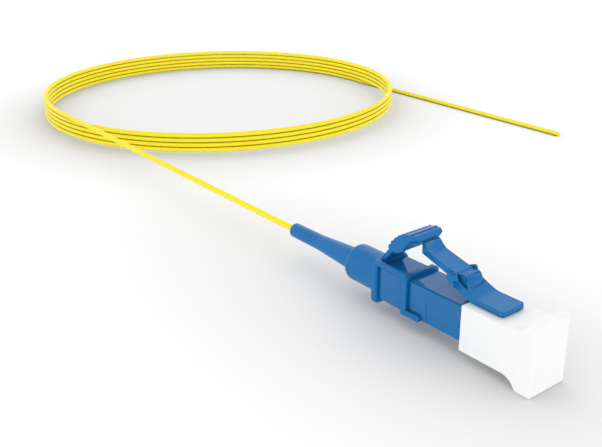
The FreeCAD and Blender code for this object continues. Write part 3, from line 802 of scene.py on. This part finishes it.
@dataclass
class TriggerClip(PlugPiece):
    """Ring behind the housing and band across it, joined by one rail, with a foot each side."""

    back: float = 17.8
    ring_thick: float = 1.0
    ring_half: float = 2.66
    ring_rise: float = 2.84
    ring_drop: float = 2.66
    ring_top_corner: float = 1.05
    ring_low_corner: float = 0.6
    ring_edge: float = 0.34
    bore: float = 1.705
    inner: float = 2.0
    band_front: float = 12.95
    post_thick: float = 0.8
    band_half: float = 2.6
    band_corner: float = 0.75
    bar_thick: float = 0.55
    bar_top: float = 2.84
    bar_overlap: float = 0.2
    foot_low: float = 2.15
    foot_front: float = 10.9
    foot_height: float = 0.75
    foot_corner: float = 0.65
    foot_round: float = 0.2
    foot_out: float = 2.62
    rail_across: Point = (-2.57, -1.93)
    rail_up: Point = (2.25, 2.94)
    rail_round: float = 0.29
    rail_in_ring: float = 0.5
    rail_in_band: float = 0.3
    edge: float = 0.25

    def build(self) -> bpy.types.Object:
        """Make the clip.

        Returns:
            The piece, riding on the plug.
        """
        w, i, low, top = self.band_half, self.inner, -self.foot_low, self.bar_top
        front, rear = -self.band_front, -self.band_front - self.post_thick
        band = trace([Corner(-w, low), Corner(-i, low), Corner(-i, i), Corner(i, i),
                      Corner(i, low), Corner(w, low), Corner(w, top, self.band_corner),
                      Corner(-w, top, self.band_corner)])
        clip = Solid.along_x(band, rear, front)
        behind = rectangle(rear - BEYOND, front - self.bar_thick, i - BEYOND, top + BEYOND)
        clip.cut(Solid.along_y(behind, -i - self.bar_overlap, i + self.bar_overlap))
        clip.round_edges(self.edge)
        r, q = self.ring_top_corner, self.ring_low_corner
        w, drop, rise = self.ring_half, -self.ring_drop, self.ring_rise
        ring = trace([Corner(-w, drop, q), Corner(w, drop, q),
                      Corner(w, rise, r), Corner(-w, rise, r)])
        hoop = Solid.along_x(ring, -self.back - self.ring_thick, -self.back)
        hoop.cut(Solid.along_x(circle(0, 0, self.bore),
                               -self.back - self.ring_thick - BEYOND, -self.back + BEYOND))
        hoop.round_edges(self.ring_edge, segments=4)
        clip.join(hoop)
        rod = rectangle(*self.rail_across, *self.rail_up, self.rail_round)
        clip.join(Solid.along_x(rod, -self.back - self.rail_in_ring, front - self.rail_in_band))
        for side in (-1, 1):
            a, b = sorted((side * i, side * self.foot_out))
            foot = trace([Corner(rear, low, self.foot_corner),
                          Corner(-self.foot_front, low, self.foot_round),
                          Corner(-self.foot_front, low + self.foot_height, self.foot_round),
                          Corner(rear, low + self.foot_height)])
            clip.join(Solid.along_y(foot, a, b).round_edges(self.foot_round))
        piece = self.finish(clip, "trigger_clip_ring_and_band", "blue_moulding")
        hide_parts("trigger_clip")
        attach(piece, "plug")
        return piece


@dataclass
class TriggerLever(PlugPiece):
    """Sloping root plate out of the ring, and the ridged thumb pad with its round nose."""

    hinge: Point = (-17.88, 3.02)
    slope: float = 52.4
    thick: float = 0.55
    root_half: float = 1.5
    root_length: float = 2.8
    root_depth: float = 0.55
    pad_half: float = 2.16
    back: Point = (1.38, 2.08)
    crest: Point = (4.72, 4.69)
    crown: float = 4.95
    under: list[Point] = field(default_factory=lambda: [
        (4.49, 3.71), (3.65, 2.3), (2.88, 1.85), (2.23, 1.76), (1.78, 1.98)])
    nose: Point = (5.19, 4.12)
    nose_radius: float = 0.54
    nose_bevel: float = 0.2
    groove: Point = (-0.35, 0.4)
    tip_margin: float = 0.01
    lip_cut: tuple[Point, Point] = ((4.49, 3.71), (5.75, 4.5))
    lip_slant: float = 1.4
    lip_lead: float = -0.4
    lip_run: float = 2.4
    lip_fall: float = 1.2
    lip_width: float = 3.0
    ridge_radius: float = 0.28
    ridge_sink: float = 0.17
    ridge_first: float = 150.5
    ridge_step: float = 8.6
    ridge_count: int = 5
    bend_step: float = 0.12
    edge: float = 0.07

    def at(self, across: float, up: float) -> Point:
        """A point by its two distances from the hinge."""
        return self.hinge[0] + across, self.hinge[1] + up

    def build(self) -> bpy.types.Object:
        """Make the lever.

        Returns:
            The piece, with edge loops across the root plate at the hinge.
        """
        run, rise = math.cos(math.radians(self.slope)), math.sin(math.radians(self.slope))
        half, reach, depth = self.thick / 2, self.root_length, self.root_depth
        plate = [self.at(side * rise * half + run * far, -side * run * half + rise * far)
                 for side, far in ((1, -depth), (1, reach), (-1, reach), (-1, -depth))]
        lever = Solid.along_y(plate, -self.root_half, self.root_half)
        nose = self.at(*self.nose)
        top = bow(self.at(*self.back), self.at(*self.crest), self.crown, steps=16)
        pad = top + [Corner(nose[0] + self.groove[0], nose[1] + self.groove[1]),
                     Corner(nose[0], nose[1] + self.nose_radius / 4),
                     Corner(nose[0], nose[1] - self.nose_radius / 2)]
        pad += [Corner(*self.at(*p)) for p in self.under]
        lever.join(Solid.along_y(trace(pad), -self.pad_half, self.pad_half))
        lever.join(Solid.along_y(circle(*nose, self.nose_radius), -self.pad_half, self.pad_half))
        for bar in self.ridges(top):
            lever.join(bar)
        tip, shoulder = nose[0] + self.nose_radius + self.tip_margin, nose[0] - self.nose_bevel
        for side in (-1, 1):
            edge, out = side * self.pad_half, side * (self.pad_half + BEYOND)
            corner = [(tip, side * (self.pad_half - self.nose_bevel)), (tip, out),
                      (shoulder, out), (shoulder, edge)]
            lever.cut(Solid.along_z(corner, self.hinge[1], OVER_ALL))
            lever.cut(self.lip_end(side))
        along = Vector((run, 0, rise))
        foot = Vector((self.hinge[0], 0, self.hinge[1]))
        lever.slice_across([(foot + along * self.bend_step * k, along)
                            for k in range(-BEND_LOOPS, BEND_LOOPS + 1)])
        lever.round_edges(self.edge)
        piece = self.finish(lever, "trigger_lever_pad", "blue_moulding")
        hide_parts("trigger_lever")
        bend = along * self.bend_step * BEND_LOOPS
        self.frame.point(*(foot - bend))
        self.frame.point(*(foot + bend))
        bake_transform(piece)
        return piece

    def lip_end(self, side: int) -> Solid:
        """Make what is cut off obliquely below the end of the lip, on one side.

        Args:
            side: -1 for the right side and 1 for the left.

        Returns:
            The cutting shape.
        """
        start, stop = (Vector(self.at(*p)) for p in self.lip_cut)
        along = (stop - start).normalized()
        down = Vector((along.y, -along.x))
        ring = []
        for run, fall in ((0, 0), (self.lip_run, 0), (self.lip_run, self.lip_fall),
                          (self.lip_lead, self.lip_fall)):
            place = start + along * run + down * fall
            ring.append((place.x, side * (self.pad_half - self.lip_slant * fall), place.y))
        return Solid("lip_end", prism(ring, Vector((0, side * self.lip_width, 0))))

    def ridges(self, top: list[Corner]) -> list[Solid]:
        """Make the grip bars across the rear of the pad, fanned round its crown.

        Args:
            top: the points of the pad's arched top, an odd number of them.

        Returns:
            The bars.
        """
        first, middle, last = (Vector((c.x, c.z))
                               for c in (top[0], top[len(top) // 2], top[-1]))
        chord = (first + last) / 2
        centre = middle + (chord - middle).normalized() * self.crown
        bars = []
        for n in range(self.ridge_count):
            turn = math.radians(self.ridge_first - self.ridge_step * n)
            reach = self.crown - self.ridge_sink
            bar = circle(centre.x + reach * math.cos(turn), centre.y + reach * math.sin(turn),
                         self.ridge_radius, sides=24)
            bars.append(Solid.along_y(bar, -self.pad_half, self.pad_half))
        return bars


@dataclass
class Boot(PlugPiece):
    """Collar and trumpet tail that spare the cord a sharp bend where it leaves the plug."""

    front: float = 18.8
    collar_length: float = 5.35
    collar_radius: float = 2.34
    collar_round: float = 0.6
    length: float = 18.0
    root: float = 1.5
    neck: float = 1.01
    neck_round: float = 6.0
    tip: float = 0.98
    tip_round: float = 0.16
    cone: float = 7.05
    front_round: float = 0.1
    root_round: float = 0.3
    hole: float = 0.5
    hole_round: float = 0.06
    pocket: float = 1.45
    pocket_depth: float = 4.0

    def build(self) -> bpy.types.Object:
        """Make the boot.

        Returns:
            The piece, riding on the plug.
        """
        back, end = -self.front - self.collar_length, -self.front - self.length
        floor = -self.front - self.pocket_depth
        corners = [Corner(-self.front, self.pocket),
                   Corner(-self.front, self.collar_radius, self.front_round),
                   Corner(back, self.collar_radius, self.collar_round),
                   Corner(back, self.root, self.root_round),
                   Corner(back - self.cone, self.neck, self.neck_round),
                   Corner(end, self.tip, self.tip_round), Corner(end, self.hole, self.hole_round),
                   Corner(floor, self.hole), Corner(floor, self.pocket)]
        boot = Solid.turned(trace(corners, step=7.5))
        piece = self.finish(boot, "strain_relief_boot", "blue_moulding")
        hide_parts("boot")
        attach(piece, "plug")
        return piece


@dataclass
class Spring(PlugPiece):
    """Open coil of round wire that presses the ferrule forward and is squeezed as it gives."""

    wire: float = 0.35
    outer: float = 2.7
    pitch: float = 1.2
    rear: float = -10.6
    front: float = -4.35
    travel: float = 0.8
    steps_per_turn: int = 28

    def build(self) -> bpy.types.Object:
        """Make the spring.

        Returns:
            The piece, riding on the plug.
        """
        length = self.front - self.rear
        turns = (length - self.wire) / self.pitch
        count = round(turns * self.steps_per_turn)
        reach = (self.outer - self.wire) / 2
        points = []
        for n in range(count + 1):
            turn = math.tau * turns * n / count
            along = self.rear + self.wire / 2 + (length - self.wire) * n / count
            points.append((along, reach * math.sin(turn), reach * math.cos(turn)))
        drawn = add_object("coil", round_wire("coil", "POLY", self.wire / 2, 2, points))
        mesh = drawn_mesh(drawn)
        shape = bmesh.new()
        shape.from_mesh(mesh)
        bmesh.ops.remove_doubles(shape, verts=shape.verts, dist=WELD)
        bpy.data.objects.remove(drawn)
        bpy.data.meshes.remove(mesh)
        piece = self.finish(Solid("coil", shape), "ferrule_spring", "inner_metal")
        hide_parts("spring")
        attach(piece, "plug")
        self.frame.point(self.rear, 0, 0)
        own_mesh(piece)
        return piece


@dataclass
class FreeCord:
    """Buffered fibre from the boot to the coil, round it and out to its bare end."""

    diameter: float = 0.9
    exit: Place = (-20.75, 0.0, 4.0)
    centre: Point = (-98.284, 38.027)
    radius: float = 38.5
    lead_angle: float = 270.35
    tail_angle: float = 88.915
    full_turns: int = 4
    pitch: float = 0.915
    tail_length: float = 64.4
    points_per_turn: int = 36
    lead_shares: Place = (0.08, 0.5, 0.94)
    tail_shares: Place = (0.08, 0.5, 1.0)

    def route(self) -> list[Place]:
        """Work out the cord's control points, from the boot to the bare end.

        Returns:
            The points in the row's millimetres.
        """
        low = self.diameter / 2
        sweep = 360 * self.full_turns + self.lead_angle - self.tail_angle
        high = low + self.pitch * sweep / 360
        steps = round(sweep / 360 * self.points_per_turn)
        # a quadratic spline runs inside its control points, so they stand further out
        out = self.radius / (0.75 + 0.25 * math.cos(math.radians(sweep / steps)))
        touch = self.on_coil(self.lead_angle, self.radius, high)
        points = [self.exit]
        points += [tuple(self.exit[k] + (touch[k] - self.exit[k]) * share for k in range(3))
                   for share in self.lead_shares]
        for n in range(steps + 1):
            share = n / steps
            angle = self.lead_angle - sweep * share
            points.append(self.on_coil(angle, out, high + (low - high) * share))
        tail = math.radians(self.tail_angle)
        away = (math.sin(tail), -math.cos(tail))
        start = self.on_coil(self.tail_angle, self.radius, low)
        for share in self.tail_shares:
            reach = self.tail_length * share
            points.append((start[0] + away[0] * reach, start[1] + away[1] * reach, low))
        return points

    def on_coil(self, angle: float, radius: float, z: float) -> Place:
        """A point of the coil by its angle, distance from the middle and height."""
        turn = math.radians(angle)
        return (self.centre[0] + radius * math.cos(turn),
                self.centre[1] + radius * math.sin(turn), z)

    def length(self) -> float:
        """Add up the cord's straight lead, its turns and its straight tail.

        Returns:
            The length from the boot to the bare end, in millimetres.
        """
        sweep = math.radians(360 * self.full_turns + self.lead_angle - self.tail_angle)
        touch = self.on_coil(self.lead_angle, self.radius, 0)
        lead = math.dist(touch[:2], self.exit[:2])
        return lead + sweep * self.radius + self.tail_length

    def build(self, finish: bpy.types.Material) -> bpy.types.Object:
        """Make the cord.

        Args:
            finish: its material.

        Returns:
            The cord, one NURBS curve riding on the plug.
        """
        points = [tuple(value * MM for value in place) for place in self.route()]
        curve = round_wire("tight_buffered_cord", "NURBS", self.diameter / 2 * MM, 6, points)
        curve.resolution_u = 4
        curve.splines[0].order_u = 3
        curve.splines[0].use_endpoint_u = True
        piece = add_object("tight_buffered_cord", curve)
        curve.materials.append(finish)
        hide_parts("cord_lead", "cord_coil", "cord_tail")
        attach(piece, "plug")
        self.length() * MM
        log.info("cord: %.1f mm long", self.length())
        return piece


# ---------------- the stage

@dataclass(frozen=True)
class PaintedShadowPatch:
    """A painted shadow on the floor: a soft grey patch, full inside its inner reach, gone past the
    outer one.
    """

    centre: Point
    squeeze: Point
    inner: float
    outer: float
    tone: float


@dataclass
class Stage:
    """Pale floor, soft light from all round and above, and the photograph's camera."""

    camera_mm: Place = (62.635, -63.32, 48.204)
    look: Point = (-0.791819, 0.610756)
    pitch: float = 0.392
    roll: float = -0.010
    lens: float = 50.258
    clip: Point = (0.002, 20.0)
    sky_low: float = 1.45
    sky_high: float = 0.65
    paper_white: float = 1.09
    # painted contact shadow: how far the floor's occlusion looks
    painted_contact_shadow_mm: float = 16.0
    # painted shadows: soft grey patches round the coil and round the plug
    painted_shadows: tuple[PaintedShadowPatch, ...] = (
        PaintedShadowPatch((-98.0, 38.0), (1.0, 1.0), inner=36.0, outer=62.0, tone=0.83),
        PaintedShadowPatch((0.0, 0.0), (0.45, 1.0), inner=6.0, outer=34.0, tone=0.84))
    glow_share: float = 0.62
    key: float = 0.2
    key_from: Place = (-0.55, 0.45, 0.75)
    key_spread: float = 36.0
    floor_size: float = 6.0

    def build(self) -> None:
        """Set up the floor, the lights and the camera."""
        self.add_floor()
        self.add_sky()
        self.add_key()
        self.add_camera()

    def add_floor(self) -> None:
        """Lay the floor under the part: white paper, with painted shadow where the part is near and
        in soft patches round it.
        """
        half = self.floor_size / 2
        corners = [(-half, -half, 0), (half, -half, 0), (half, half, 0), (-half, half, 0)]
        mesh = bpy.data.meshes.new("floor")
        mesh.from_pydata(corners, [], [(0, 1, 2, 3)])
        floor = add_object("floor", mesh)
        material = bpy.data.materials.new("floor_paper_with_painted_shadow")
        material.use_nodes = True
        tree = material.node_tree
        tree.nodes.clear()
        paper = add_node(tree, "ShaderNodeBsdfDiffuse", {"Color": linear("#F9F9F9")})
        # painted shadow: the floor's glow falls off by ambient occlusion near the part
        painted_contact_shadow = add_node(tree, "ShaderNodeAmbientOcclusion",
                        {"Distance": self.painted_contact_shadow_mm * MM}, samples=16)
        level = add_node(tree, "ShaderNodeMath", {0: painted_contact_shadow.outputs["AO"],
                         1: self.paper_white}, operation="MULTIPLY")
        place = add_node(tree, "ShaderNodeTexCoord")
        # painted shadow: each patch dims the glow towards its tone near its centre
        for shadow_patch in self.painted_shadows:
            x, y = shadow_patch.centre
            away = add_node(tree, "ShaderNodeVectorMath", {
                0: place.outputs["Object"], 1: (-x * MM, -y * MM, 0.0)})
            shrunk = add_node(tree, "ShaderNodeVectorMath", {
                0: away.outputs[0], 1: (*shadow_patch.squeeze, 1.0)}, operation="MULTIPLY")
            far = add_node(tree, "ShaderNodeVectorMath", {0: shrunk.outputs[0]},
                           operation="LENGTH")
            shadow_fade = add_node(tree, "ShaderNodeMapRange", {
                "Value": far.outputs["Value"], "From Min": shadow_patch.inner * MM,
                "From Max": shadow_patch.outer * MM, "To Min": shadow_patch.tone},
                interpolation_type="SMOOTHSTEP")
            level = add_node(tree, "ShaderNodeMath", {0: level.outputs[0],
                             1: shadow_fade.outputs["Result"]}, operation="MULTIPLY")
        # the camera sees the floor partly as a glow, and the glow carries the painted shadow
        glow = add_node(tree, "ShaderNodeEmission", {"Strength": level.outputs[0]})
        ray = add_node(tree, "ShaderNodeLightPath")
        seen = add_node(tree, "ShaderNodeMath", {0: ray.outputs["Is Camera Ray"],
                        1: self.glow_share}, operation="MULTIPLY")
        both = add_node(tree, "ShaderNodeMixShader", {0: seen.outputs[0],
                        1: paper.outputs["BSDF"], 2: glow.outputs["Emission"]})
        add_node(tree, "ShaderNodeOutputMaterial", {"Surface": both.outputs["Shader"]})
        mesh.materials.append(material)

    def add_sky(self) -> None:
        """Light the scene softly from every side, more from the walls than from above."""
        world = bpy.data.worlds.new("studio")
        world.use_nodes = True
        tree = world.node_tree
        tree.nodes.clear()
        way = add_node(tree, "ShaderNodeTexCoord")
        height = add_node(tree, "ShaderNodeSeparateXYZ", {0: way.outputs["Generated"]})
        level = add_node(tree, "ShaderNodeMapRange", {
            "Value": height.outputs["Z"], "To Min": self.sky_low, "To Max": self.sky_high})
        light = add_node(tree, "ShaderNodeBackground", {
            "Color": (1.0, 1.0, 1.0, 1.0), "Strength": level.outputs["Result"]})
        add_node(tree, "ShaderNodeOutputWorld", {"Surface": light.outputs["Background"]})
        bpy.context.scene.world = world

    def add_key(self) -> None:
        """Add the broad soft key light from behind and above, as even as a far soft box."""
        data = bpy.data.lights.new("key", "SUN")
        data.angle = math.radians(self.key_spread)
        data.energy = self.key
        lamp = add_object("key", data)
        lamp.rotation_euler = Vector(self.key_from).to_track_quat("Z", "Y").to_euler()

    def add_camera(self) -> None:
        """Put the camera where the photograph was taken from."""
        scene = bpy.context.scene
        level, drop = math.cos(self.pitch), math.sin(self.pitch)
        ahead = Vector((self.look[0] * level, self.look[1] * level, -drop))
        right = ahead.cross(Vector((0, 0, 1))).normalized()
        up = right.cross(ahead)
        lean, stand = math.sin(self.roll), math.cos(self.roll)
        right, up = right * stand + up * lean, up * stand - right * lean
        data = bpy.data.cameras.new("camera")
        data.lens = self.lens
        data.clip_start, data.clip_end = self.clip
        camera = add_object("camera", data)
        matrix = Matrix((right, up, -ahead)).transposed().to_4x4()
        matrix.translation = Vector(self.camera_mm) * MM
        camera.matrix_world = matrix
        scene.camera = camera
        scene.view_settings.view_transform = "Standard"


@dataclass
class Pigtail:
    """The whole part: every drawn piece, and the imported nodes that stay, each with its finish."""

    kept: dict[str, str] = field(default_factory=lambda: {
        "back_post": "metal", "ferrule_flange": "metal",
        "ferrule": "ceramic", "glass_fibre": "glass", "buffer_in_plug": "buffer"})

    def build(self, nodes: dict[str, bpy.types.Object]) -> None:
        """Make every piece and finish the nodes that stay.

        Args:
            nodes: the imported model's nodes by name.
        """
        frame = PlugFrame.read()
        satin, gloss, white = BLUE_SATIN.build(), BLUE_GLOSS.build(), WHITE_CAP.build()
        finishes = {"metal": TURNED_METAL.build(), "ceramic": ZIRCONIA.build(),
                    "glass": GLASS.build(), "buffer": YELLOW_BUFFER.build()}
        FreeCord().build(finishes["buffer"])
        Housing(frame, gloss).build()
        for kind in (Latch, TriggerClip, TriggerLever, Boot):
            kind(frame, satin).build()
        DustCap(frame, white).build()
        Spring(frame, finishes["metal"]).build()
        for name, finish in self.kept.items():
            slots = nodes[name].data.materials
            slots.clear()
            slots.append(finishes[finish])
            nodes[name].data.shade_smooth()
            log.info("%s: kept, %s", name, finish)


def main() -> None:
    """Build the scene."""
    logging.basicConfig(level=logging.INFO, format="%(name)s %(message)s")
    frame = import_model()
    Stage().build()
    Pigtail().build(frame["nodes"])


if __name__ == "__main__":
    main()
